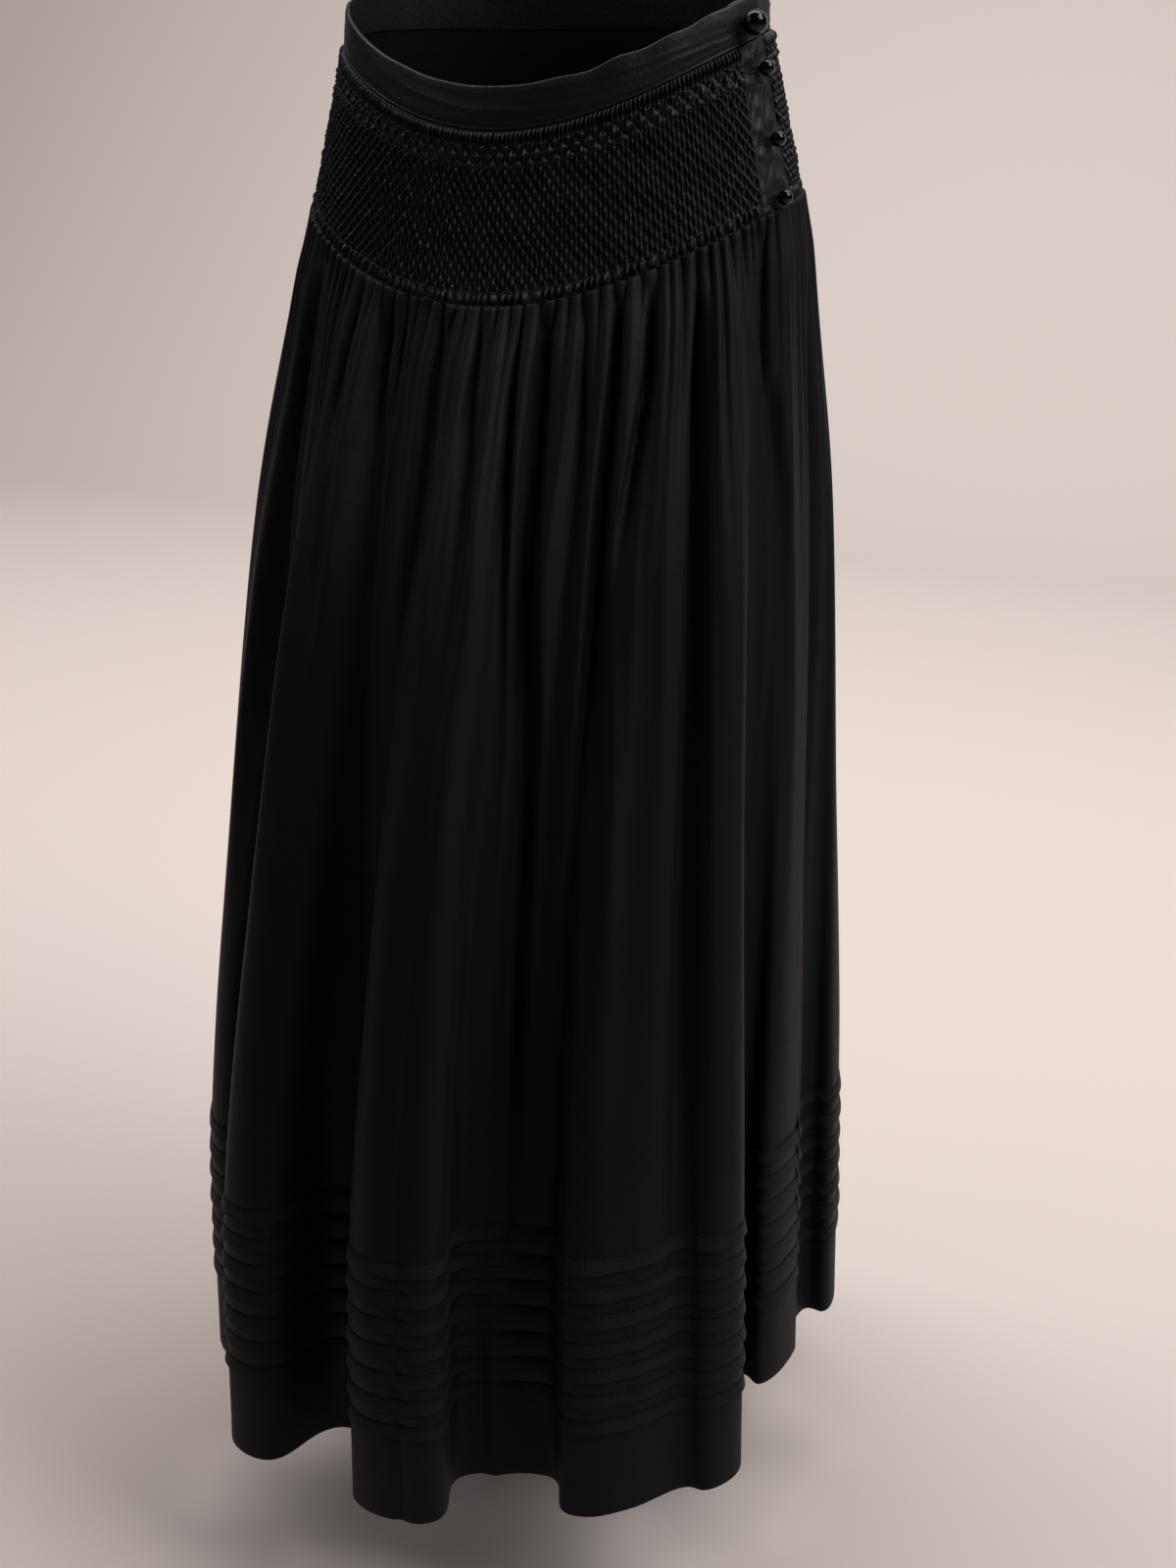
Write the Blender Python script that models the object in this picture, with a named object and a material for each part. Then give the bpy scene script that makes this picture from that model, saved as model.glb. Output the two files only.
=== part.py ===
"""Smocked maxi skirt, worn form: metres, +Z up, front towards -Y, wearer's left towards +X.

The origin is the centre of the waist opening.
"""

import math

import bmesh
import bpy
from mathutils import Vector

# Lengths down the cloth, from the waistband's top edge
BAND_DEEP = 0.026
YOKE_END = 0.126
SKIRT_END = 0.982

# Walls
SEAM_GAP = 0.0003
BAND_THICK = 0.0022
YOKE_THICK = 0.0015
SKIRT_THICK = 0.0015
PLACKET_THICK = 0.0015

# Tucks: stitch line of the first, step from one to the next, depth of the flap, how far it stands off
TUCKS = 7
TUCK_START = 0.780
TUCK_STEP = 0.0206
TUCK_DEEP = 0.0105
TUCK_LIFT = 0.0022

# Gathers under the yoke
GATHERS = 92
GATHER_HIGH = 0.0017
GATHER_END = 0.200

# Smocking: columns round the whole waist, lowest and highest relief
SMOCK_COLUMNS = 128
SMOCK_LOW = 0.0003
SMOCK_HIGH = 0.0021

# Left side opening and seams, degrees from the front centre towards the wearer's left
PLACKET_FROM = 72.0
PLACKET_TO = 87.5
UNDERLAP_FROM = 75.0
UNDERLAP_TO = 89.5
BAND_END = 84.0
LEFT_SEAM = 88.5
RIGHT_SEAM = -101.5

# Rings: length down the cloth, half width, half depth, how far back its centre lies, how much lower the front is
RINGS = (
    (0.000, 0.1450, 0.0990, 0.014, 0.062),
    (0.026, 0.1475, 0.1010, 0.014, 0.063),
    (0.070, 0.1570, 0.1100, 0.013, 0.066),
    (0.126, 0.1700, 0.1250, 0.012, 0.068),
    (0.190, 0.1800, 0.1440, 0.006, 0.058),
    (0.330, 0.1960, 0.1860, -0.003, 0.036),
    (0.560, 0.2110, 0.2320, -0.017, 0.012),
    (0.780, 0.2210, 0.2590, -0.029, 0.000),
    (0.982, 0.2260, 0.2690, -0.029, 0.000),
)
# The dip keeps to the front: a higher power makes it narrower
DIP_POWER = 3.6
DIP_MEAN = 0.08

# Folds at the hem, round from the right back: angle of the ridge, its offset, angle of the valley after it, its offset
FOLDS = (
    (-164.0, 0.018, -149.0, -0.034),
    (-133.0, 0.017, -118.0, -0.028),
    (-101.0, 0.019, -83.0, -0.032),
    (-60.0, 0.021, -38.0, -0.040),
    (-28.0, 0.033, -14.5, -0.044),
    (3.5, 0.021, 5.0, 0.019),
    (6.5, 0.020, 16.5, -0.035),
    (19.5, -0.033, 22.5, -0.035),
    (40.0, 0.021, 48.0, 0.019),
    (55.5, 0.034, 67.5, -0.040),
    (88.0, -0.006, 94.0, -0.016),
    (107.0, 0.012, 122.0, -0.030),
    (137.0, 0.016, 151.5, -0.034),
    (166.0, 0.019, 181.0, -0.028),
)
# Over 1 a fold is broader at its crest than at its foot, where it is at least this high
FOLD_STEEP = 1.35
STEEP_FROM = 0.030

# How much of the hem's fold there is, by length down the cloth
FOLD_GROWS = ((0.126, 0.03), (0.190, 0.12), (0.340, 0.33), (0.560, 0.64), (0.780, 0.94), (0.982, 1.0))

# Lesser folds between the yoke and the tucks: angle of the ridge, its height, its half width in degrees
LESSER_FOLDS = (
    (-172.0, 0.008, 6.0), (-156.0, 0.007, 5.0), (-141.0, 0.008, 5.5), (-124.0, 0.007, 6.0),
    (-108.0, 0.008, 5.0), (-92.0, 0.006, 5.0), (-78.0, 0.008, 5.0), (-65.0, 0.007, 4.5),
    (-53.0, 0.008, 4.5), (-41.0, 0.008, 4.5), (-29.0, 0.009, 4.4), (-18.5, 0.005, 3.5),
    (-9.5, 0.008, 3.6), (-0.5, 0.008, 3.4), (7.3, 0.007, 2.8), (14.5, 0.007, 2.6),
    (22.0, 0.008, 3.2), (28.5, 0.007, 2.5), (35.3, 0.008, 3.0), (44.0, 0.009, 4.0),
    (59.5, 0.009, 7.5), (79.0, 0.007, 5.0), (100.0, 0.008, 6.5), (116.0, 0.007, 5.0),
    (131.0, 0.008, 5.5), (147.0, 0.006, 5.0), (163.0, 0.008, 5.5), (177.0, 0.006, 4.5),
)
LESSER_GROWS = ((0.126, 0.0), (0.190, 0.55), (0.320, 1.0), (0.480, 0.62), (0.700, 0.28), (0.982, 0.1))

BALLS = (
    # name, angle, length down the cloth, diameter, segments
    ("button_waist", 75.0, 0.0130, 0.0155, 14),
    ("button_upper", 80.0, 0.0420, 0.0100, 12),
    ("button_middle", 80.0, 0.0840, 0.0100, 12),
    ("button_lower", 79.0, 0.1185, 0.0100, 12),
)


def along(table, x, column=1):
    """A smooth curve through the table's rows, read at x in its first column."""
    if x <= table[0][0]:
        return table[0][column]
    if x >= table[-1][0]:
        return table[-1][column]
    i = max(k for k in range(len(table) - 1) if table[k][0] <= x)
    x0, x1 = table[i][0], table[i + 1][0]
    y0, y1 = table[i][column], table[i + 1][column]

    def slope(k):
        a, b = max(k - 1, 0), min(k + 1, len(table) - 1)
        return (table[b][column] - table[a][column]) / (table[b][0] - table[a][0])

    t = (x - x0) / (x1 - x0)
    m0, m1 = slope(i) * (x1 - x0), slope(i + 1) * (x1 - x0)
    return (
        (2 * t**3 - 3 * t**2 + 1) * y0
        + (t**3 - 2 * t**2 + t) * m0
        + (3 * t**2 - 2 * t**3) * y1
        + (t**3 - t**2) * m1
    )


def ring_point(down, degrees, out=0.0):
    """A point on the smooth ring at this length down, moved out along its normal."""
    a, b, back, dip = (along(RINGS, down, k) for k in (1, 2, 3, 4))
    s, c = math.sin(math.radians(degrees)), math.cos(math.radians(degrees))
    normal = Vector((s / a, -c / b, 0)).normalized()
    low = dip * (((1 + c) / 2) ** DIP_POWER - DIP_MEAN)
    return Vector((a * s, back - b * c, -down - low)) + normal * out


def lesser_offset(down, degrees):
    """The lesser folds' offset at this place."""
    total = 0.0
    for ridge_at, high, wide in LESSER_FOLDS:
        away = (degrees - ridge_at + 180) % 360 - 180
        if abs(away) < 4 * wide:
            total += high * math.exp(-((away / wide) ** 2))
    return along(LESSER_GROWS, down) * (total - 0.003)


# Ridges and valleys one after the other, each with its share of the cloth
EXTREMES = [
    extreme
    for ridge_at, ridge_out, valley_at, valley_out in FOLDS
    for extreme in ((ridge_at, ridge_out), (valley_at, valley_out))
]
EXTREMES.append((EXTREMES[0][0] + 360, EXTREMES[0][1]))


def cloth_shares():
    """Where each ridge and valley lies along the cloth, 0 to 1, and its angle under the yoke."""
    lengths = []
    for (a0, o0), (a1, o1) in zip(EXTREMES, EXTREMES[1:]):
        turn = math.radians(a1 - a0) * 0.240
        lengths.append(0.5 * math.hypot(turn, 1.3 * (o1 - o0)) / 2.0 + 0.5 * (a1 - a0) / 360)
    total = sum(lengths)
    starts = [0.0]
    for length in lengths:
        starts.append(starts[-1] + length / total)
    return starts


SHARES = cloth_shares()
# The cloth's own start is turned so that folds run straight down at the front
TOP_TURN = sum(a - 360 * s for (a, _), s in zip(EXTREMES, SHARES)) / len(SHARES)


def skirt_point(down, share, gather=0.0, out=0.0):
    """A point of the skirt: share is the place round the cloth, gather is -1 to 1 across one gather."""
    whole = math.floor(share)
    s = share - whole
    i = max(k for k in range(len(SHARES) - 1) if SHARES[k] <= s)
    u = (s - SHARES[i]) / (SHARES[i + 1] - SHARES[i])
    (a0, o0), (a1, o1) = EXTREMES[i], EXTREMES[i + 1]
    grown = along(FOLD_GROWS, down)
    steep = FOLD_STEEP * min(1.0, abs(o1 - o0) / STEEP_FROM) * grown
    hem_angle = a0 + (a1 - a0) * (u + steep * math.sin(2 * math.pi * u) / (2 * math.pi))
    top_angle = TOP_TURN + 360 * s
    settle = min(max((down - YOKE_END) / 0.40, 0), 1)
    settle = settle * settle * (3 - 2 * settle)
    angle = top_angle + (hem_angle - top_angle) * settle + 360 * whole
    offset = grown * (o0 + (o1 - o0) * (1 - math.cos(math.pi * u)) / 2)
    offset += lesser_offset(down, angle)
    fade = max(0.0, 1 - (down - YOKE_END) / GATHER_END)
    offset += gather * GATHER_HIGH * fade * (0.75 + 0.25 * math.sin(2 * math.pi * 7 * s))
    return ring_point(down, angle, offset + out)


def grid_normals(grid):
    """Outward normals of a grid of points, from its neighbours."""
    rows, columns = len(grid), len(grid[0])
    normals = []
    for r in range(rows):
        line = []
        for c in range(columns):
            across = grid[r][min(c + 1, columns - 1)] - grid[r][max(c - 1, 0)]
            up = grid[max(r - 1, 0)][c] - grid[min(r + 1, rows - 1)][c]
            line.append(across.cross(up).normalized())
        normals.append(line)
    return normals


def closed_wall(name, outer, inner, material):
    """One closed body between two grids that share their outline, whatever their own rows and columns."""
    bm = bmesh.new()

    def points(grid):
        return [[bm.verts.new(p) for p in row] for row in grid]

    def skin(grid):
        for upper, lower in zip(grid, grid[1:]):
            for k in range(len(upper) - 1):
                bm.faces.new((lower[k], lower[k + 1], upper[k + 1]))
                bm.faces.new((lower[k], upper[k + 1], upper[k]))

    def lengths(line):
        found = [0.0]
        for p, q in zip(line, line[1:]):
            found.append(found[-1] + (q.co - p.co).length)
        return [x / found[-1] for x in found]

    def join(one, two):
        """Triangles between two lines of points, stepping along whichever is behind."""
        at_one, at_two = lengths(one), lengths(two)
        i = j = 0
        while i < len(one) - 1 or j < len(two) - 1:
            step_one = j == len(two) - 1 or (i < len(one) - 1 and at_one[i + 1] <= at_two[j + 1])
            if step_one:
                bm.faces.new((one[i], one[i + 1], two[j]))
                i += 1
            else:
                bm.faces.new((one[i], two[j + 1], two[j]))
                j += 1

    outside, inside = points(outer), points(inner)
    skin(outside)
    skin(inside)
    join(outside[0], inside[0])
    join(outside[-1], inside[-1])
    join([row[0] for row in outside], [row[0] for row in inside])
    join([row[-1] for row in outside], [row[-1] for row in inside])
    return finished(name, bm, material)


def finished(name, bm, material):
    bmesh.ops.recalc_face_normals(bm, faces=bm.faces)
    if bm.calc_volume(signed=True) < 0:
        bmesh.ops.reverse_faces(bm, faces=bm.faces)
    mesh = bpy.data.meshes.new(name)
    bm.to_mesh(mesh)
    bm.free()
    obj = bpy.data.objects.new(name, mesh)
    bpy.context.scene.collection.objects.link(obj)
    mesh.materials.append(material)
    return obj


def cloth_material(name, colour, roughness):
    material = bpy.data.materials.new(name)
    material.use_nodes = True
    shader = material.node_tree.nodes["Principled BSDF"]
    shader.inputs["Base Color"].default_value = (*colour, 1)
    shader.inputs["Roughness"].default_value = roughness
    return material


def steps(start, end, count):
    return [start + (end - start) * k / count for k in range(count + 1)]


def make_band(material):
    """One strip that starts at the overlap end, goes round by the front and ends behind its own start."""
    turn = [BAND_END - 360 * k / 76 for k in range(77)]
    turn += [BAND_END - 360 - k for k in (4.0, 9.0, 14.0)]

    def inset(degrees):
        # The last part goes in behind the overlap end
        left = degrees - (BAND_END - 360)
        t = min(max(1 - (left - 2.0) / 20.0, 0), 1)
        return -(BAND_THICK + SEAM_GAP) * t * t * (3 - 2 * t)

    rows = ((0.0, 0.0004), (0.0012, 0.0), (BAND_DEEP - 0.0012, 0.0), (BAND_DEEP, 0.0004))
    outer = [[ring_point(d, a, inset(a) - soft) for a in turn] for d, soft in rows]
    inner = [
        [ring_point(d, a, inset(a) - BAND_THICK) for a in turn] for d in (0.0, BAND_DEEP)
    ]
    return closed_wall("waistband", outer, inner, material)


def smock_relief(row, column, rows):
    """Height of the smocking at a point: upright reeds, a trellis, the honeycomb, then a row of puffs."""
    odd = (row + column) % 2
    if row == 0 or row == rows - 1:
        return 0.0004
    if row == 1:
        return 0.0015 if column % 2 else 0.0006
    if row in (2, 4):
        return 0.0005
    if row == 3:
        return SMOCK_HIGH if column % 3 else SMOCK_LOW
    if row == rows - 2:
        return SMOCK_HIGH + 0.0002 if column % 2 else 0.0010
    if row == rows - 3:
        return 0.0004
    return SMOCK_HIGH if odd else SMOCK_LOW


def make_yoke(name, start, end, material):
    downs = [BAND_DEEP + SEAM_GAP, 0.0300, 0.0340, 0.0400]
    downs += steps(0.0460, 0.1160, 7)
    downs += [0.1210, YOKE_END]
    columns = round((end - start) / 360 * SMOCK_COLUMNS)
    angles = steps(start, end, columns)
    outer = [
        [ring_point(d, a, smock_relief(r, c, len(downs))) for c, a in enumerate(angles)]
        for r, d in enumerate(downs)
    ]
    inner_angles = steps(start, end, columns // 2)
    inner = [
        [ring_point(d, a, -YOKE_THICK) for a in inner_angles]
        for d in steps(downs[0], downs[-1], 4)
    ]
    return closed_wall(name, outer, inner, material)


def make_strip(name, start, end, outside, material):
    """A plain placket strip from under the waistband to the end of the smocking."""
    downs = steps(BAND_DEEP + SEAM_GAP, YOKE_END, 4)
    angles = steps(start, end, 4)
    outer = [[ring_point(d, a, outside) for a in angles] for d in downs]
    inner = [[ring_point(d, a, outside - PLACKET_THICK) for a in angles] for d in downs]
    return closed_wall(name, outer, inner, material)


def make_skirt(name, first, last, material):
    """A panel from column first to column last, its gathers, folds and tucks in one wall."""
    columns = 2 * GATHERS
    top = YOKE_END + SEAM_GAP
    shared = [top] + [YOKE_END + d for d in (0.055, 0.110, 0.200, 0.320, 0.480)] + [TUCK_START]
    downs = sorted([(d, 0.0) for d in shared] + [(YOKE_END + 0.018, 0.0)])
    for k in range(TUCKS):
        free_edge = TUCK_START + TUCK_STEP * k + TUCK_DEEP
        downs += [(free_edge, TUCK_LIFT), (free_edge + 0.0008, 0.0)]
    downs += [(SKIRT_END - 0.030, 0.0), (SKIRT_END, 0.0)]

    def row(down, out):
        return [
            skirt_point(down, c / columns, 1 if c % 2 else -1, out) for c in range(first - 1, last + 2)
        ]

    def cut_at_seams(line):
        """Drops the neighbours' columns and opens the seam by its gap."""
        kept = line[1:-1]
        kept[0] = kept[0] + (line[2] - line[0]).normalized() * 1.4 * SEAM_GAP
        kept[-1] = kept[-1] + (line[-3] - line[-1]).normalized() * 1.4 * SEAM_GAP
        return kept

    outer = [cut_at_seams(row(down, out)) for down, out in downs]
    plain = [row(down, 0.0) for down in shared + [SKIRT_END]]
    inner = []
    for line, normals in zip(plain, grid_normals(plain)):
        moved = [p - n * SKIRT_THICK for p, n in zip(line, normals)]
        for p, q in zip(moved, line):
            p.z = q.z
        inner.append(cut_at_seams(moved))
    return closed_wall(name, outer, inner, material)


def make_ball(name, degrees, down, diameter, segments, material):
    """A ball button and its shank, turned about the cloth's normal."""
    base = ring_point(down, degrees, 3 * SEAM_GAP)
    out = (ring_point(down, degrees, 0.01) - ring_point(down, degrees, 0)).normalized()
    side = Vector((0, 0, 1)).cross(out).normalized()
    up = out.cross(side)
    radius, shank, stand = diameter / 2, diameter * 0.14, 0.0012
    meet = math.asin(shank / radius)
    centre = stand + radius * math.cos(meet)
    profile = [(shank, 0.0)]
    bends = segments // 2
    for k in range(bends):
        turn = math.pi - meet - (math.pi - meet) * k / bends
        profile.append((radius * math.sin(turn), centre + radius * math.cos(turn)))
    bm = bmesh.new()
    rings = [
        [
            bm.verts.new(
                base
                + out * high
                + (side * math.cos(t) + up * math.sin(t)) * wide
            )
            for t in (2 * math.pi * k / segments for k in range(segments))
        ]
        for wide, high in profile
    ]
    foot = bm.verts.new(base)
    tip = bm.verts.new(base + out * (centre + radius))
    for k in range(segments):
        n = (k + 1) % segments
        bm.faces.new((foot, rings[0][n], rings[0][k]))
        bm.faces.new((tip, rings[-1][k], rings[-1][n]))
        for lower, upper in zip(rings, rings[1:]):
            bm.faces.new((lower[k], lower[n], upper[n]))
            bm.faces.new((lower[k], upper[n], upper[k]))
    return finished(name, bm, material)


for old in list(bpy.data.objects):
    bpy.data.objects.remove(old)

band_cloth = cloth_material("band_satin", (0.012, 0.012, 0.013), 0.50)
yoke_cloth = cloth_material("smocked_satin", (0.009, 0.009, 0.010), 0.58)
skirt_cloth = cloth_material("skirt_satin", (0.010, 0.010, 0.011), 0.52)
glossy_black = cloth_material("button_gloss", (0.006, 0.006, 0.006), 0.12)

make_band(band_cloth)
make_yoke("yoke_front", RIGHT_SEAM + 0.06, PLACKET_FROM - 0.12, yoke_cloth)
make_yoke("yoke_back", PLACKET_TO + 0.4, RIGHT_SEAM + 360 - 0.06, yoke_cloth)
make_strip("placket_overlap", PLACKET_FROM, PLACKET_TO, 0.0006, band_cloth)
make_strip("placket_underlap", UNDERLAP_FROM, UNDERLAP_TO, -YOKE_THICK - 2 * SEAM_GAP, band_cloth)

columns = 2 * GATHERS
right_seam = round((RIGHT_SEAM - TOP_TURN) / 360 * columns)
left_seam = round((LEFT_SEAM - TOP_TURN) / 360 * columns)
make_skirt("skirt_front", right_seam, left_seam, skirt_cloth)
make_skirt("skirt_back", left_seam, right_seam + columns, skirt_cloth)

for name, degrees, down, diameter, segments in BALLS:
    ball = make_ball(name, degrees, down, diameter, segments, glossy_black)
    if name != "button_waist":
        # The placket stands a little above the ring
        lift = (ring_point(down, degrees, 0.0006) - ring_point(down, degrees, 0))
        for vertex in ball.data.vertices:
            vertex.co += lift
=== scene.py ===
import math

import bpy
import numpy as np
from mathutils import Matrix, Vector


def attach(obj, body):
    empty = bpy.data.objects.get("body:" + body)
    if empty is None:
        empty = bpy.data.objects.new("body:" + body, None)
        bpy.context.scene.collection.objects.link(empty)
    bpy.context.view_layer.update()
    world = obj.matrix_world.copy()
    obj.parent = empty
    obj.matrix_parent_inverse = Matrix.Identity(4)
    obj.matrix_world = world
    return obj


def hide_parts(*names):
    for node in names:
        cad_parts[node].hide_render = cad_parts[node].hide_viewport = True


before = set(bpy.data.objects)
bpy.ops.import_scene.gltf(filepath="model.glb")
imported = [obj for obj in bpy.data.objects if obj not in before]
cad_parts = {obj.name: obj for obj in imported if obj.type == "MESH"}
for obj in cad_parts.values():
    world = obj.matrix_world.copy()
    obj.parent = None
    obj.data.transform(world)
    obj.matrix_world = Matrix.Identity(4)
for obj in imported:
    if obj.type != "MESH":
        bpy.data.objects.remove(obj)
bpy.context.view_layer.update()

# The form, in metres: the same tables as the solids have
cut = {
    "bandDeep": 0.026,
    "yokeEnd": 0.126,
    "hem": 0.982,
    "gap": 0.0003,
    "bandEnd": 84.0,
    "placketFrom": 72.0,
    "placketTo": 87.5,
    "underlapFrom": 75.0,
    "underlapTo": 89.5,
    "leftSeam": 88.5,
    "rightSeam": -101.5,
    "dipPower": 3.6,
    "dipMean": 0.08,
    "foldSteep": 1.35,
    "steepFrom": 0.030,
    "seamColumns": 184,
    "tucks": 7,
    "tuckStart": 0.780,  # the first stitch line
    "tuckStep": 0.0206,
    "foldShare": 0.25,  # how much of the cloth each fold takes at the yoke, by its length at the hem
    "foldRadius": 0.240,
    "foldArc": 1.3,
    "settles": 0.40,  # the folds find their hem angles over this length below the yoke
    "round": 1.62,  # metres round the skirt's own coordinates
}

# Rings: length down the cloth, half width, half depth, how far back the centre lies,
# how much lower the front is
rings = np.array([
    (0.000, 0.1450, 0.0990, 0.014, 0.062),
    (0.026, 0.1475, 0.1010, 0.014, 0.063),
    (0.070, 0.1570, 0.1100, 0.013, 0.066),
    (0.126, 0.1700, 0.1250, 0.012, 0.068),
    (0.190, 0.1800, 0.1440, 0.006, 0.058),
    (0.330, 0.1960, 0.1860, -0.003, 0.036),
    (0.560, 0.2110, 0.2320, -0.017, 0.012),
    (0.780, 0.2210, 0.2590, -0.029, 0.000),
    (0.982, 0.2260, 0.2690, -0.029, 0.000),
])

# Folds at the hem: angle of the ridge, its offset, angle of the valley after it, its offset
folds = np.array([
    (-164, 0.018, -149, -0.034),
    (-133, 0.017, -118, -0.028),
    (-101, 0.019, -83, -0.032),
    (-60, 0.021, -38, -0.040),
    (-28, 0.033, -14.5, -0.044),
    (3.5, 0.021, 5, 0.019),
    (6.5, 0.020, 16.5, -0.035),
    (19.5, -0.033, 22.5, -0.035),
    (40, 0.021, 48, 0.019),
    (55.5, 0.034, 67.5, -0.040),
    (88, -0.006, 94, -0.016),
    (107, 0.012, 122, -0.030),
    (137, 0.016, 151.5, -0.034),
    (166, 0.019, 181, -0.028),
])
# How far they have grown: length down the cloth, share
foldGrows = np.array([
    (0.126, 0.03), (0.190, 0.12), (0.340, 0.33),
    (0.560, 0.64), (0.780, 0.94), (0.982, 1.0),
])

# Lesser folds above the tucks: angle of the ridge, its height, its half width in degrees
lesserFolds = np.array([
    (-172, 0.008, 6), (-156, 0.007, 5), (-141, 0.008, 5.5), (-124, 0.007, 6),
    (-108, 0.008, 5), (-92, 0.006, 5), (-78, 0.008, 5), (-65, 0.007, 4.5),
    (-53, 0.008, 4.5), (-41, 0.008, 4.5), (-29, 0.009, 4.4), (-18.5, 0.005, 3.5),
    (-9.5, 0.008, 3.6), (-0.5, 0.008, 3.4), (7.3, 0.007, 2.8), (14.5, 0.007, 2.6),
    (22, 0.008, 3.2), (28.5, 0.007, 2.5), (35.3, 0.008, 3), (44, 0.009, 4),
    (59.5, 0.009, 7.5), (79, 0.007, 5), (100, 0.008, 6.5), (116, 0.007, 5),
    (131, 0.008, 5.5), (147, 0.006, 5), (163, 0.008, 5.5), (177, 0.006, 4.5),
])
lesserGrows = np.array([
    (0.126, 0.0), (0.190, 0.55), (0.320, 1.0),
    (0.480, 0.62), (0.700, 0.28), (0.982, 0.1),
])
lesserMean = 0.003  # taken off again, so that the rings keep their size


def smoothAlong(table, x, column=1):
    # A smooth curve through the table's rows, read at x
    xs, ys = table[:, 0], table[:, column]
    x = np.clip(x, xs[0], xs[-1])
    i = np.clip(np.searchsorted(xs, x, side="right") - 1, 0, len(xs) - 2)
    before, after = np.maximum(np.arange(len(xs)) - 1, 0), np.minimum(np.arange(len(xs)) + 1, len(xs) - 1)
    slope = (ys[after] - ys[before]) / (xs[after] - xs[before])
    wide = xs[i + 1] - xs[i]
    t = (x - xs[i]) / wide
    return (
        (2 * t**3 - 3 * t**2 + 1) * ys[i]
        + (t**3 - 2 * t**2 + t) * slope[i] * wide
        + (3 * t**2 - 2 * t**3) * ys[i + 1]
        + (t**3 - t**2) * slope[i + 1] * wide
    )


def smoothStep(x, low, high):
    t = np.clip((x - low) / (high - low), 0, 1)
    return t * t * (3 - 2 * t)


def ringPoint(down, degrees, out=0.0):
    # A point on the smooth ring at this length down, moved out along its normal
    a, b, back, dip = (smoothAlong(rings, down, k) for k in (1, 2, 3, 4))
    s, c = np.sin(np.radians(degrees)), np.cos(np.radians(degrees))
    nx, ny = s / a, -c / b
    size = np.hypot(nx, ny)
    low = dip * (((1 + c) / 2) ** cut["dipPower"] - cut["dipMean"])
    x = a * s + nx / size * out
    y = back - b * c + ny / size * out
    return np.stack(np.broadcast_arrays(x, y, -down - low), axis=-1)


extremeAt = np.append(folds[:, [0, 2]].ravel(), folds[0, 0] + 360)
extremeOut = np.append(folds[:, [1, 3]].ravel(), folds[0, 1])
turns = np.diff(extremeAt)
# The cloth that each half fold gets at the yoke, by its length at the hem and by its angle
foldLengths = np.hypot(np.radians(turns) * cut["foldRadius"], cut["foldArc"] * np.diff(extremeOut))
clothLengths = cut["foldShare"] * foldLengths + turns / 720
shares = np.append(0, np.cumsum(clothLengths) / clothLengths.sum())
topTurn = float(np.mean(extremeAt - 360 * shares))


def lesserOffset(down, degrees):
    total = -lesserMean
    for at, high, wide in lesserFolds:
        away = (degrees - at + 180) % 360 - 180
        total = total + high * np.exp(-((away / wide) ** 2))
    return smoothAlong(lesserGrows, down) * total


# Narrow valleys between the folds: angle at each length of creaseDowns, depth, half width, where it ends
creaseDowns = (0.190, 0.290, 0.420, 0.600)
creases = (
    (-84, -83, -82, -82, 0.0055, 2, 0.50), (-68, -68.5, -69, -69, 0.0050, 1.8, 0.40),
    (-49.5, -50.5, -50, -50, 0.0065, 2, 0.60), (-30, -27.5, -25.5, -25, 0.0045, 2.2, 0.50),
    (-21.3, -19.6, -20, -20, 0.0068, 3, 0.62), (-16.6, -15, -14, -14, 0.0040, 1.4, 0.27),
    (-6.5, -4.2, -2.2, -1.5, 0.0038, 2.3, 0.50), (3, 5.5, 7, 7.5, 0.0045, 1.7, 0.40),
    (11, 12.8, 14.4, 15, 0.0052, 1.3, 0.44), (16.6, 17.4, 20.3, 21, 0.0065, 2.1, 0.80),
    (25.7, 26.8, 27, 27, 0.0042, 1.2, 0.30), (32.7, 31.8, 32.4, 33, 0.0062, 1.6, 0.56),
    (39.6, 36, 35.4, 35, 0.0058, 1.5, 0.42), (51, 50.4, 50.1, 50, 0.0070, 1.9, 0.80),
    (61.5, 61.5, 62, 62, 0.0015, 1.4, 0.24), (71.5, 76.8, 78.4, 79, 0.0030, 1.8, 0.54),
    (96, 94.6, 93.6, 93, 0.0055, 2, 0.62), (110, 111, 112, 112, 0.0055, 2, 0.44),
    (124, 121, 121, 121, 0.0062, 2, 0.68), (139, 140, 141, 141, 0.0050, 1.6, 0.42),
    (152, 151, 151, 151, 0.0065, 2.1, 0.74), (168, 170, 172, 172, 0.0048, 1.6, 0.42),
    (184, 182, 181, 181, 0.0062, 1.9, 0.66), (197, 199, 200, 200, 0.0050, 1.7, 0.40),
    (212, 211, 211, 211, 0.0065, 2, 0.72), (227, 226, 225, 225, 0.0045, 1.6, 0.40),
    (242, 242, 242, 242, 0.0062, 2, 0.64), (258.5, 259.5, 260, 260, 0.0048, 1.8, 0.44),
)
creaseLook = {
    "begins": (0.128, 0.165),
    "fades": (0.22, 0.12),  # from so far before the end in the table to so far past it
    "deeper": 1.75,
    "widening": 0.6,
    "profile": (0.10, 1.45),  # shares of the half width: flat up to the first, gone at the second
    "fullness": 0.0018,  # how far the cloth between them stands out
    "fullTo": (0.35, 0.60),
}


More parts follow.
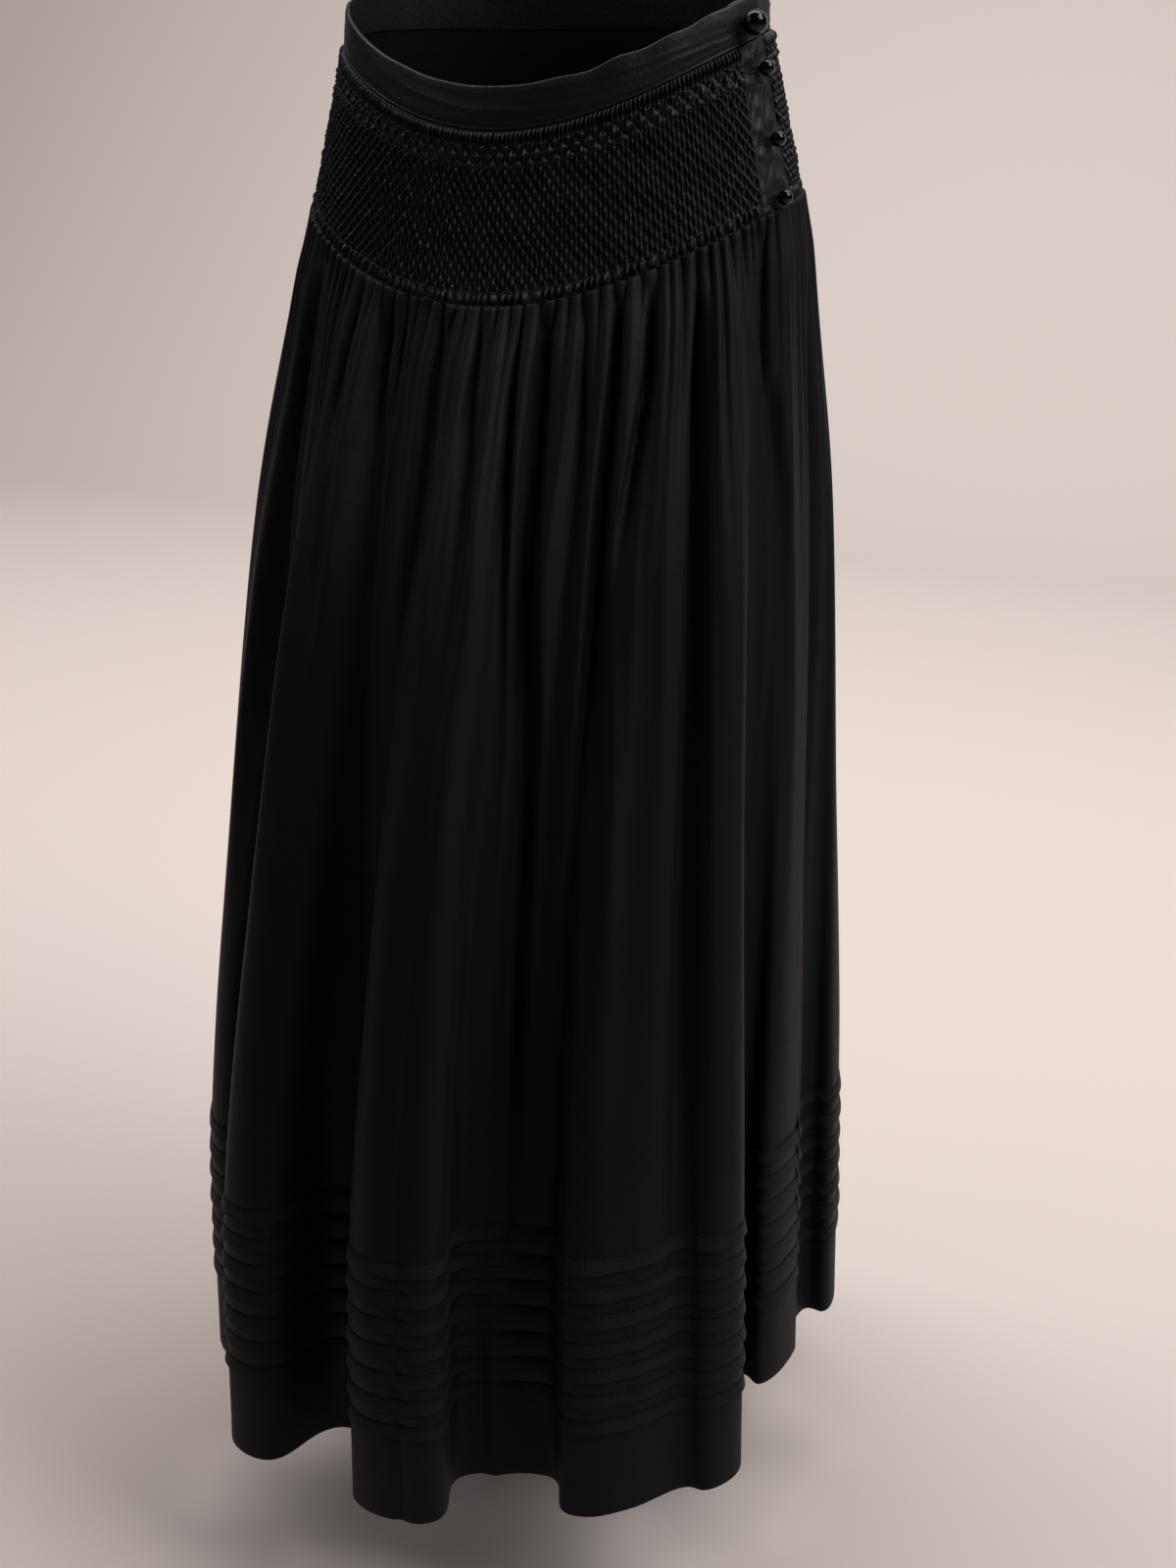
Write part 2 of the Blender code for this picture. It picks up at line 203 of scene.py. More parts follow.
def creaseOffset(down, degrees):
    look = creaseLook
    before, past = look["fades"]
    flat, gone = look["profile"]
    total = 0.0
    begins = smoothStep(down, *look["begins"])
    for *angles, deep, wide, ends in creases:
        path = smoothAlong(np.column_stack([creaseDowns, angles]), down)
        away = (degrees - path + 180) % 360 - 180
        lasts = 1 - smoothStep(down, ends - before, ends + past)
        broader = wide * (1 + look["widening"] * smoothStep(down, 0.2, ends))
        across = smoothStep(np.abs(away), flat * broader, gone * broader)
        total = total - look["deeper"] * deep * lasts * (1 - across)
    return begins * (total + look["fullness"] * (1 - smoothStep(down, *look["fullTo"])))


def ripples(share, down, seed, number, cyclesRange, lengthRange):
    # Soft waves that run down the cloth, with whole numbers of cycles round it
    pick = np.random.default_rng(seed)
    total = 0.0
    for _ in range(number):
        cycles = pick.integers(*cyclesRange)
        length = pick.uniform(*lengthRange)
        lean = pick.uniform(-1, 1) * 2 * np.pi / length
        phase = pick.uniform(0, 6.28)
        strength = pick.uniform(0.5, 1)
        total = total + np.sin(2 * np.pi * cycles * share + lean * down + phase) * strength
    return total / math.sqrt(number)


drape = {
    "softHigh": 0.0009,  # soft unevenness between the folds
    "soft": (5, 7, (14, 46), (0.25, 0.7)),  # seed, number of waves, cycles round, length down
    "fineHigh": 0.00018,
    "fine": (9, 6, (50, 110), (0.12, 0.35)),
    "loosens": (0.15, 0.30),
    "tightens": (0.72, 0.80),  # the tucks hold the cloth flatter
}


def skirtPoint(down, share):
    # A point of the skirt's middle form: share is the place round the cloth, 0 to 1
    whole = np.floor(share)
    s = share - whole
    i = np.clip(np.searchsorted(shares, s, side="right") - 1, 0, len(shares) - 2)
    u = (s - shares[i]) / (shares[i + 1] - shares[i])
    a0, a1, o0, o1 = extremeAt[i], extremeAt[i + 1], extremeOut[i], extremeOut[i + 1]
    grown = smoothAlong(foldGrows, down)
    steep = cut["foldSteep"] * np.minimum(1, np.abs(o1 - o0) / cut["steepFrom"]) * grown
    hemAngle = a0 + (a1 - a0) * (u + steep * np.sin(2 * np.pi * u) / (2 * np.pi))
    topAngle = topTurn + 360 * s
    settle = smoothStep(down, cut["yokeEnd"], cut["yokeEnd"] + cut["settles"])
    angle = topAngle + (hemAngle - topAngle) * settle + 360 * whole
    offset = grown * (o0 + (o1 - o0) * (1 - np.cos(np.pi * u)) / 2)
    offset = offset + lesserOffset(down, angle) + creaseOffset(down, angle)
    loose = smoothStep(down, *drape["loosens"]) * (1 - 0.6 * smoothStep(down, *drape["tightens"]))
    offset = offset + loose * drape["softHigh"] * ripples(share, down, *drape["soft"])
    offset = offset + loose * drape["fineHigh"] * ripples(share, down, *drape["fine"])
    return ringPoint(down, angle, offset)


def outwards(pointAt, down, place, step):
    # Unit normals of a surface given by a function
    across = pointAt(down, place + step) - pointAt(down, place - step)
    lower = pointAt(down + 0.0012, place) - pointAt(down - 0.0012, place)
    normal = np.cross(across, -lower)
    return normal / np.linalg.norm(normal, axis=-1, keepdims=True)


def zipper(one, two, points, turned):
    # Triangles between two lines of points, stepping along whichever is behind
    def shareAlong(line):
        lengths = np.linalg.norm(np.diff(points[line], axis=0), axis=1)
        return np.append(0, np.cumsum(lengths) / max(lengths.sum(), 1e-9))

    atOne, atTwo = shareAlong(one), shareAlong(two)
    i = j = 0
    faces = []
    while i < len(one) - 1 or j < len(two) - 1:
        stepOne = j == len(two) - 1 or (i < len(one) - 1 and atOne[i + 1] <= atTwo[j + 1])
        face = (one[i], one[i + 1], two[j]) if stepOne else (one[i], two[j + 1], two[j])
        i, j = (i + 1, j) if stepOne else (i, j + 1)
        faces.append(tuple(map(int, face[::-1] if turned else face)))
    return faces


def clothUv(across, down):
    return np.stack(np.broadcast_arrays(across, down), axis=-1)


def makeMesh(name, points, faces, uv, material):
    mesh = bpy.data.meshes.new(name)
    mesh.from_pydata(points.tolist(), [], faces)
    layer = mesh.uv_layers.new(name="cloth")
    corners = np.empty(len(mesh.loops), np.int32)
    mesh.loops.foreach_get("vertex_index", corners)
    layer.data.foreach_set("uv", uv[corners].astype(np.float32).ravel())
    mesh.polygons.foreach_set("use_smooth", np.full(len(mesh.polygons), True))
    mesh.materials.append(material)
    mesh.update()
    obj = bpy.data.objects.new(name, mesh)
    bpy.context.scene.collection.objects.link(obj)
    return obj


def closedShell(name, outer, outerUv, inner, innerUv, material):
    # One closed body between two grids that share their outline; rows run down,
    # columns towards the wearer's left
    points = np.concatenate([outer.reshape(-1, 3), inner.reshape(-1, 3)])
    uv = np.concatenate([outerUv.reshape(-1, 2), innerUv.reshape(-1, 2)])
    outside = np.arange(outer[..., 0].size).reshape(outer.shape[:2])
    inside = np.arange(inner[..., 0].size).reshape(inner.shape[:2]) + outside.size
    faces = []
    for grid, turned in ((outside, False), (inside, True)):
        corners = [grid[1:, :-1], grid[1:, 1:], grid[:-1, 1:], grid[:-1, :-1]]
        quads = np.stack(corners[::-1] if turned else corners, axis=-1)
        faces += quads.reshape(-1, 4).tolist()
    faces += zipper(outside[0], inside[0], points, False)
    faces += zipper(outside[-1], inside[-1], points, True)
    faces += zipper(outside[:, 0], inside[:, 0], points, True)
    faces += zipper(outside[:, -1], inside[:, -1], points, False)
    return makeMesh(name, points, faces, uv, material)


def colour(code):
    # sRGB hex turned linear
    values = [int(code[k : k + 2], 16) / 255 for k in (1, 3, 5)]
    return (*[v / 12.92 if v <= 0.04045 else ((v + 0.055) / 1.055) ** 2.4 for v in values], 1)


def setInputs(tree, node, inputs):
    # A socket gets a plain value, a link from another socket, or one from a node's first output
    for socket, value in inputs.items():
        if isinstance(value, bpy.types.Node):
            value = value.outputs[0]
        if isinstance(value, bpy.types.NodeSocket):
            tree.links.new(value, node.inputs[socket])
        else:
            node.inputs[socket].default_value = value


def addNode(tree, kind, settings=None, inputs=None):
    node = tree.nodes.new(kind)
    for name, value in (settings or {}).items():
        setattr(node, name, value)
    setInputs(tree, node, inputs or {})
    return node


def newMaterial(name):
    material = bpy.data.materials.new(name)
    material.use_nodes = True
    return material, material.node_tree, material.node_tree.nodes["Principled BSDF"]


def perMm(size):
    # Texture scale for a pattern of this size in mm, on coordinates in metres
    return 1000 / size


wavePeriod = 0.314  # a wave texture repeats after this distance at scale 1
puckerLook = {
    "puckerMm": 1.2,
    "wanderMm": 14.0,
    "wanderTurn": 6.0,  # radians that the puckers drift
}


def tuckMasks(tree, place):
    # From the cloth's own coordinates in metres: 1 in the puckers beside each stitch line,
    # and 1 on each tuck's own fold, from its stitch line to its free edge, where a painted highlight goes
    parts = addNode(tree, "ShaderNodeSeparateXYZ", None, {"Vector": place})
    down = parts.outputs["Y"]
    start, step = cut["tuckStart"], cut["tuckStep"]
    end = start + step * cut["tucks"]
    below = addNode(tree, "ShaderNodeMath", {"operation": "SUBTRACT"}, {0: down, 1: start})
    counted = addNode(tree, "ShaderNodeMath", {"operation": "DIVIDE"}, {0: below, 1: step})
    inTuck = addNode(tree, "ShaderNodeMath", {"operation": "FRACT"}, {0: counted})
    # name, what it reads, low, high, value at low, value at high
    ramps = (
        ("underLine", inTuck, 0.02, 0.30, 1.0, 0.0),
        ("overLine", inTuck, 0.95, 1.0, 0.0, 0.8),
        ("foldBegins", inTuck, 0.02, 0.16, 0.0, 1.0),
        ("foldEnds", inTuck, 0.45, 0.47, 1.0, 0.0),
        ("puckersBegin", down, start - 0.004, start, 0.0, 1.0),
        ("foldsBegin", down, start - 0.001, start, 0.0, 1.0),
        ("tucksEnd", down, end - 0.004, end, 1.0, 0.0),
    )
    sockets = ("Value", "From Min", "From Max", "To Min", "To Max")
    smooth = {"interpolation_type": "SMOOTHSTEP"}
    masks = {}
    for name, *row in ramps:
        masks[name] = addNode(tree, "ShaderNodeMapRange", smooth, dict(zip(sockets, row)))
    joined = (
        ("atLine", "MAXIMUM", "underLine", "overLine"),
        ("puckersHere", "MULTIPLY", "puckersBegin", "tucksEnd"),
        ("puckers", "MULTIPLY", "atLine", "puckersHere"),
        ("fold", "MULTIPLY", "foldBegins", "foldEnds"),
        ("foldsHere", "MULTIPLY", "foldsBegin", "tucksEnd"),
        ("folds", "MULTIPLY", "fold", "foldsHere"),
    )
    for name, operation, one, two in joined:
        both = {0: masks[one], 1: masks[two]}
        masks[name] = addNode(tree, "ShaderNodeMath", {"operation": operation}, both)
    return parts.outputs["X"], masks["puckers"], masks["folds"]


def puckerWave(tree, place, around, mask):
    # Short upright puckers, unevenly spaced
    wander = addNode(
        tree, "ShaderNodeTexNoise", None,
        {"Vector": place, "Scale": perMm(puckerLook["wanderMm"]), "Detail": 2.0},
    )
    perMetre = 2 * math.pi * perMm(puckerLook["puckerMm"])
    even = addNode(tree, "ShaderNodeMath", {"operation": "MULTIPLY"}, {0: around, 1: perMetre})
    drift = addNode(
        tree, "ShaderNodeMath", {"operation": "MULTIPLY"},
        {0: wander.outputs["Fac"], 1: puckerLook["wanderTurn"]},
    )
    turned = addNode(tree, "ShaderNodeMath", {"operation": "ADD"}, {0: even, 1: drift})
    wave = addNode(tree, "ShaderNodeMath", {"operation": "SINE"}, {0: turned})
    return addNode(tree, "ShaderNodeMath", {"operation": "MULTIPLY"}, {0: wave, 1: mask})


def satin(name, look):
    # Washed silk satin: a soft wide sheen along the folds, nearly black in the body,
    # slightly crumpled at close range
    material, tree, shader = newMaterial(name)
    place = addNode(tree, "ShaderNodeUVMap", {"uv_map": "cloth"}).outputs["UV"]
    body = addNode(tree, "ShaderNodeTexCoord").outputs["Object"]
    threads = addNode(
        tree, "ShaderNodeTexWave", {"bands_direction": "DIAGONAL"},
        {"Vector": place, "Scale": perMm(look["threadMm"]) * wavePeriod, "Distortion": 0.6},
    )
    slubs = addNode(
        tree, "ShaderNodeTexNoise", None,
        {"Vector": body, "Scale": perMm(look["slubMm"]), "Detail": 3.0, "Roughness": 0.6},
    ).outputs["Fac"]
    crumple = addNode(tree, "ShaderNodeTexNoise", None, {
        "Vector": body, "Scale": perMm(look["crumpleMm"]),
        "Detail": 4.0, "Roughness": 0.55, "Distortion": 0.6,
    }).outputs["Fac"]
    cloth = addNode(
        tree, "ShaderNodeMix", {"data_type": "RGBA"},
        {"Factor": slubs, "A": colour(look["dark"]), "B": colour(look["light"])},
    ).outputs["Result"]
    # Strength, height in metres and pattern of each bump, from fine to coarse
    bumps = [
        (look["threadBump"], 0.00006, threads.outputs["Fac"]),
        (look["slubBump"], 0.0002, slubs),
        (look["crumpleBump"], 0.0012, crumple),
    ]
    if "tuckHighlight" in look:
        # Painted highlight: each tuck's fold is mixed to a lighter colour, standing in for the light it
        # catches as it tilts out
        around, puckers, folds = tuckMasks(tree, place)
        bumps.append((look["pucker"], 0.0007, puckerWave(tree, place, around, puckers)))
        cloth = addNode(
            tree, "ShaderNodeMix", {"data_type": "RGBA"},
            {"Factor": folds, "A": cloth, "B": colour(look["tuckHighlight"])},
        ).outputs["Result"]
    normal = {}
    for strength, high, pattern in bumps:
        given = {"Strength": strength, "Distance": high, "Height": pattern}
        normal = {"Normal": addNode(tree, "ShaderNodeBump", None, {**given, **normal})}
    rough = addNode(tree, "ShaderNodeMapRange", None, {
        "Value": crumple, "To Min": look["roughness"] - 0.05, "To Max": look["roughness"] + 0.06,
    })
    setInputs(tree, shader, {
        "Base Color": cloth,
        "Roughness": rough,
        "IOR": 1.5,
        "Specular IOR Level": look["specular"],
        "Sheen Weight": look["sheen"],
        "Sheen Roughness": 0.45,
        "Sheen Tint": colour(look["sheenTint"]),
        **normal,
    })
    return material


def gloss(name, look):
    # Polished black resin with a hard clear surface, for the ball buttons
    material, tree, shader = newMaterial(name)
    body = addNode(tree, "ShaderNodeTexCoord").outputs["Object"]
    wear = addNode(tree, "ShaderNodeTexNoise", None, {"Vector": body, "Scale": perMm(2.5), "Detail": 3.0})
    rough = addNode(tree, "ShaderNodeMapRange", None, {
        "Value": wear, "To Min": look["roughness"], "To Max": look["roughness"] + 0.10,
    })
    setInputs(tree, shader, {
        "Base Color": colour(look["colour"]),
        "Roughness": rough,
        "IOR": 1.52,
        "Specular IOR Level": look["specular"],
    })
    return material


def threadLook(name, look):
    # Twisted silk sewing thread, as black as the cloth, in small rounded stitches
    material, tree, shader = newMaterial(name)
    body = addNode(tree, "ShaderNodeTexCoord").outputs["Object"]
    twist = addNode(tree, "ShaderNodeTexNoise", None, {"Vector": body, "Scale": perMm(0.5), "Detail": 2.0})
    bump = addNode(tree, "ShaderNodeBump", None, {"Strength": 0.4, "Distance": 0.0001, "Height": twist})
    setInputs(tree, shader, {
        "Normal": bump,
        "Base Color": colour(look["colour"]),
        "Roughness": look["roughness"],
        "Specular IOR Level": 0.2,
    })
    return material


satinLook = {
    "dark": "#090a0b",
    "light": "#111214",
    "sheenTint": "#d8d4d0",
    "roughness": 0.60,
    "specular": 0.10,
    "sheen": 0.006,
    "threadMm": 0.35,  # real threads are three times finer and wouldn't show
    "threadBump": 0.25,
    "slubMm": 1.5,
    "slubBump": 0.45,
    "crumpleMm": 14.0,
    "crumpleBump": 0.25,
}
yokeLook = {
    "dark": "#070708",
    "light": "#0e0f10",
    "roughness": 0.42,
    "specular": 0.18,
    "crumpleMm": 5.0,
    "crumpleBump": 0.10,
}
bandLook = {
    "dark": "#0b0c0d",
    "light": "#1b1c1f",
    "roughness": 0.48,
    "specular": 0.14,
    "crumpleMm": 3.5,
    "crumpleBump": 0.36,
}
# the tuck folds get a lighter colour here: a painted highlight
skirtSatin = satin("skirtSatin", {**satinLook, "pucker": 0.38, "tuckHighlight": "#151617"})
yokeSatin = satin("yokeSatin", {**satinLook, **yokeLook})
bandSatin = satin("bandSatin", {**satinLook, **bandLook})
buttonGloss = gloss("buttonGloss", {"colour": "#040405", "roughness": 0.10, "specular": 0.22})
silkThread = threadLook("silkThread", {"colour": "#0b0b0c", "roughness": 0.60})
print("materials ready")


waistband = {
    "columns": 560,
    "lap": 14.0,  # degrees that the underlap end reaches on behind the overlap end
    "round": 0.79,  # metres round the band's own coordinates
    "thick": 0.0022,
    "edgeWave": 0.0009,  # how far the top edge wanders
    "puff": 0.0007,  # fullness between the two edges
    "creaseHigh": 0.00026,
    "edgeRoll": 0.0009,
}
# Pressed creases along the band: angle, half length in degrees, length down, height, half width
bandCreases = (
    (-12, 11, 0.0125, 0.0008, 0.0010), (7, 13, 0.0148, 0.0006, 0.0012),
    (-30, 9, 0.0100, 0.0006, 0.0014), (38, 16, 0.0090, 0.0005, 0.0013),
    (58, 12, 0.0165, 0.0006, 0.0014), (110, 17, 0.0120, 0.0007, 0.0012),
    (150, 14, 0.0150, 0.0006, 0.0014), (185, 18, 0.0105, 0.0006, 0.0012),
    (228, 15, 0.0140, 0.0007, 0.0013), (262, 12, 0.0095, 0.0006, 0.0012),
)


def bandInset(degrees, behind):
    # The underlap end goes in behind the overlap end, within 20 degrees
    past = degrees - (cut["bandEnd"] - 360)
    return -behind * smoothStep(1 - (past - 2.0) / 20.0, 0, 1)


def bandCrease(degrees, down):
    total = 0.0
    for at, reach, low, high, wide in bandCreases:
        away = (degrees - at + 180) % 360 - 180
        along = np.exp(-((away / reach) ** 4))
        line = low + 0.0016 * np.sin(away / reach * 1.4)
        total = total + high * along * np.exp(-(((down - line) / wide) ** 2))
    return total


def makeWaistband(look):
    size, roll = look["thick"], look["edgeRoll"]
    degrees = np.linspace(cut["bandEnd"] - 360 - look["lap"], cut["bandEnd"], look["columns"] + 1)
    share = degrees / 360
    inset = bandInset(degrees, size + cut["gap"])
    wave = look["edgeWave"] * ripples(share, 0 * share, 21, 8, (5, 30), (0.2, 0.5))
    # down, moved in or out, share of the fullness; the dip before the lower edge is the topstitching's
    rows = [(0.0, -roll, 0), (0.0003, -0.4 * roll, 0), (0.0009, -0.1 * roll, 0.1), (0.0020, 0, 0.3)]
    rows += [(d, 0, 1) for d in np.linspace(0.0036, 0.0216, 20)]
    rows += [(0.0226, -0.0001, 0.3), (0.0233, -0.0004, 0.0), (0.0238, 0.0002, 0.1)]
    rows += [(0.0244, 0.0005, 0.1), (0.0250, 0.0003, 0), (0.0256, -0.4 * roll, 0), (0.0260, -roll, 0)]
    outer, outerUv, inner, innerUv = [], [], [], []

    def addRow(points, uv, down, out, every):
        at = np.full_like(degrees[::every], down)
        fade = 1 - smoothStep(at, 0.0, cut["bandDeep"])
        row = ringPoint(at, degrees[::every], out + wave[::every] * 0.5 * fade)
        row[:, 2] += wave[::every] * fade
        points.append(row)
        uv.append(clothUv(degrees[::every] / 360 * look["round"], at))

    for down, moved, full in rows:
        soft = ripples(share, down * 24, 31, 9, (2, 13), (0.14, 0.36)) * look["creaseHigh"]
        creases = soft + bandCrease(degrees, down)
        middle = math.sin(math.pi * min(max(down / cut["bandDeep"], 0), 1)) ** 0.6
        addRow(outer, outerUv, down, inset + moved + full * (look["puff"] * middle + creases * middle), 1)
    for down in (0, 0.0004, 0.009, 0.018, cut["bandDeep"] - 0.0004, cut["bandDeep"]):
        addRow(inner, innerUv, down, inset[::4] - size, 4)
    shell = map(np.array, (outer, outerUv, inner, innerUv))
    return closedShell("waistbandCloth", *shell, bandSatin)


band = makeWaistband(waistband)
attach(band, "root")
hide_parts("waistband")
print("waistband made")


smocking = {
    "pleats": 288,
    "perPleat": 6,  # columns
    "rowStep": 0.0010,
    "high": 0.0034,
    "zones": (0.0335, 0.0465, 0.1172, 0.1252),  # where the reeds, trellis, honeycomb and puffs end
    "halfRow": 0.00415,
    "leafShare": 0.70,  # the long limb of each zigzag
    "shortStrength": 0.34,  # how high the short limb stands, against the long one
    "leafWide": (0.22, 0.27),  # half width at a stitch, and what it gains between two, in pleats
    "ownShift": 0.22,  # how far the lobes sit off their places, in pleats
    "sway": 0.07,  # how far a pleat leans between two stitches, in pleats
    "reedTilt": 0.36,
    "trellisPitch": 0.0175,
    "puffPitch": 0.0050,
    "thick": 0.0013,
    "round": 0.9,  # metres round the yoke's own coordinates
}

# Lengths round the yoke's middle ring, so that the pleats are as wide at the side as at the front
ringDegrees = np.arange(-200.0, 560.1, 0.5)
ringSteps = np.diff(ringPoint(0.090 + 0 * ringDegrees, ringDegrees)[:, :2], axis=0)
ringLengths = np.append(0, np.cumsum(np.linalg.norm(ringSteps, axis=1)))
yokeRound = float(np.interp(360, ringDegrees, ringLengths) - np.interp(0, ringDegrees, ringLengths))
ringLengths = ringLengths - np.interp(0, ringDegrees, ringLengths)


def pleatAt(degrees, look):
    return np.interp(degrees, ringDegrees, ringLengths) / yokeRound * look["pleats"]


def degreesAt(pleat, look):
    return np.interp(np.asarray(pleat) * yokeRound / look["pleats"], ringLengths, ringDegrees)


def tube(away, wide):
    c = np.clip(away / wide, 0, 1)
    return (0.5 + 0.5 * np.cos(np.pi * c)) ** 1.1


def zone(down, low, high, soft=0.0007):
    return smoothStep(down, low - soft, low + soft) * (1 - smoothStep(down, high - soft, high + soft))


def bulge(down, low, high):
    return np.sin(np.pi * np.clip((down - low) / (high - low), 0, 1))


def unevenness(one, two=0.0):
    # The same value between 0 and 1 for the same pleat and row
    return (np.sin(one * 12.9898 + two * 78.233) * 43758.5453) % 1


def smockHeight(down, degrees, look):
    pleat = pleatAt(degrees, look)
    uneven = 1 + 0.10 * np.sin(pleat * 1.3 + down * 300) + 0.08 * np.sin(pleat * 0.47 - down * 170)
    reedsTo, trellisTo, combTo, puffsTo = look["zones"]
    phase = (down - trellisTo) / (2 * look["halfRow"])
    longPart = look["leafShare"]
    footWide, gain = look["leafWide"]
    honey = np.zeros_like(pleat * down)
    straight = np.zeros_like(honey)
    for k in (-1, 0, 1):
        j = np.floor(pleat) + k
        # The honeycomb: a long and a short lobe between stitches, staggered from pleat to pleat
        turn = phase + 0.5 * (j % 2)
        row = np.floor(turn)
        t = turn - row
        limb = t < longPart
        s = np.where(limb, t / longPart, (t - longPart) / (1 - longPart))
        lean = np.where(limb, 2 * s - 1, 1 - 2 * s) * look["sway"]
        own = unevenness(j, row + 0.5 * limb)
        strength = np.where(limb, 1.0, look["shortStrength"]) * (0.66 + 0.34 * own)
        taper = np.sin(np.pi * s) ** 0.5
        middle = j + 0.5 + lean + look["ownShift"] * (own - 0.5)
        leaf = tube(np.abs(pleat - middle), footWide + gain * taper)
        honey = np.maximum(honey, leaf * strength * (0.18 + 0.82 * taper))
        # The reeds above it: upright, each a little tilted
        tilt = look["reedTilt"] * (unevenness(j) - 0.35) * np.sin(2 * np.pi * (down - 0.022) / 0.030)
        reed = tube(np.abs(pleat - (j + 0.5 + tilt)), 0.44)
        straight = np.maximum(straight, reed * (0.75 + 0.25 * unevenness(j, 3)))
    around = pleat / look["pleats"] * yokeRound  # metres along the yoke
    # The trellis between them: two lines that cross, sunk into the reeds
    zig = np.abs((around / look["trellisPitch"]) % 1 * 2 - 1)  # 0 to 1 and back
    trellisMid = (reedsTo + trellisTo) / 2
    reach = (trellisTo - reedsTo) / 2 - 0.0012
    lineOne = trellisMid + reach * (2 * zig - 1)
    lineTwo = trellisMid - reach * (2 * zig - 1)
    nearest = np.minimum(np.abs(down - lineOne), np.abs(down - lineTwo))
    sunk = 0.10 + 0.68 * smoothStep(nearest, 0.0004, 0.0024) + 0.36 * smoothStep(nearest, 0.0024, 0.0048)
    trellis = (0.45 * straight + 0.55) * sunk
    wandered = around / look["puffPitch"] + 0.28 * np.sin(around * 260) + 0.22 * np.sin(around * 97)
    puffs = tube(np.abs(wandered % 1 - 0.5), 0.5) * (0.7 + 0.3 * unevenness(np.floor(wandered), 7))
    puffs = puffs * (0.55 + 0.55 * bulge(down, combTo, puffsTo))
    reeds = straight * (0.70 + 0.40 * bulge(down, cut["bandDeep"], reedsTo))
    total = (
        reeds * zone(down, cut["bandDeep"] + 0.0006, reedsTo)
        + trellis * zone(down, reedsTo, trellisTo)
        + honey * zone(down, trellisTo, combTo)
        + puffs * zone(down, combTo, puffsTo)
    )
    # The cable rows press the pleats flat
    for line in look["zones"]:
        total = total * (1 - 0.55 * np.exp(-(((down - line) / 0.0009) ** 2)))
    return total * uneven * look["high"]


def makeYoke(name, start, end, look):
    first = math.ceil(pleatAt(start, look) * look["perPleat"] + 0.2)
    last = math.floor(pleatAt(end, look) * look["perPleat"] - 0.2)
    whole = degreesAt(np.arange(first, last + 1) / look["perPleat"], look)
    degrees = np.concatenate([[start], whole, [end]])
    top, bottom = cut["bandDeep"] - 0.0003, cut["yokeEnd"]
    downs = np.linspace(top, bottom, round((bottom - top) / look["rowStep"]) + 1)
    d, a = np.meshgrid(downs, degrees, indexing="ij")
    outer = ringPoint(d, a, 0.0002 + smockHeight(d, a, look))
    innerDegrees = np.linspace(start, end, len(degrees) // 5)
    innerDowns = np.concatenate([[top], np.linspace(top + 0.0004, bottom - 0.0004, 16), [bottom]])
    di, ai = np.meshgrid(innerDowns, innerDegrees, indexing="ij")
    inner = ringPoint(di, ai, -look["thick"])
    outerUv, innerUv = clothUv(a / 360 * look["round"], d), clothUv(ai / 360 * look["round"], di)
    return closedShell(name, outer, outerUv, inner, innerUv, yokeSatin)


yokeFront = makeYoke("yokeFrontCloth", cut["rightSeam"] + 0.06, cut["placketFrom"] - 0.12, smocking)
yokeBack = makeYoke("yokeBackCloth", cut["placketTo"] + 0.4, cut["rightSeam"] + 360 - 0.06, smocking)
for piece, node, wide in ((yokeFront, "yoke_front", 0.66), (yokeBack, "yoke_back", 0.64)):
    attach(piece, "root")
    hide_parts(node)
print("smocked yoke made")


skirt = {
    "columns": 530,
    "thick": 0.0013,
    "gathers": 112,
    "gatherHigh": 0.0064,
    "gatherFade": 0.068,
    "pucker": 0.00022,
    "edgeWander": 0.0006,  # how far a tuck's free edge runs up and down
    "liftUneven": 0.28,
    "sideLap": 0.0001,  # the panels lap by twice this, so that no light shows through
}
# One tuck from its stitch line: length down the cloth, lift off the cloth, share of the free edge's wave
tuckRows = (
    (0.0000, -0.0005, 0), (0.0006, 0.0003, 0), (0.0014, 0.0006, 0.1), (0.0087, 0.0017, 0.9),
    (0.0094, 0.0018, 1), (0.0097, 0.0016, 1), (0.0096, 0.0009, 1), (0.0088, 0.0003, 1),
    (0.0090, -0.0005, 1), (0.0106, -0.0003, 0.6), (0.0198, 0.0, 0),
)


def gatherHeight(down, share, look):
    place = share * look["gathers"]
    pick = np.random.default_rng(77)
    strengths = pick.uniform(0.45, 1.0, look["gathers"])
    reaches = pick.uniform(0.5, 1.5, look["gathers"])
    wander = 0.30 * np.sin(2 * np.pi * 5 * share + down * 9) * smoothStep(down, 0.126, 0.3)
    place = place + wander + 0.12 * np.sin(2 * np.pi * 31 * share)
    j = np.floor(place).astype(int)
    f = place - j
    here, after = j % look["gathers"], (j + 1) % look["gathers"]
    blend = f * f * (3 - 2 * f)
    strength = strengths[here] * (1 - blend) + strengths[after] * blend
    reach = (reaches[here] * (1 - blend) + reaches[after] * blend) * look["gatherFade"]
    fade = np.exp(-((np.maximum(down - cut["yokeEnd"], 0) / reach) ** 1.3))
    pleat = np.abs(np.sin(np.pi * f)) ** 0.55
    # Gathers open into soft rounded waves lower down
    soft = 0.5 - 0.5 * np.cos(2 * np.pi * f)
    open_ = smoothStep(down, 0.15, 0.24)
    return look["gatherHigh"] * strength * fade * (pleat * (1 - open_) + soft * open_)


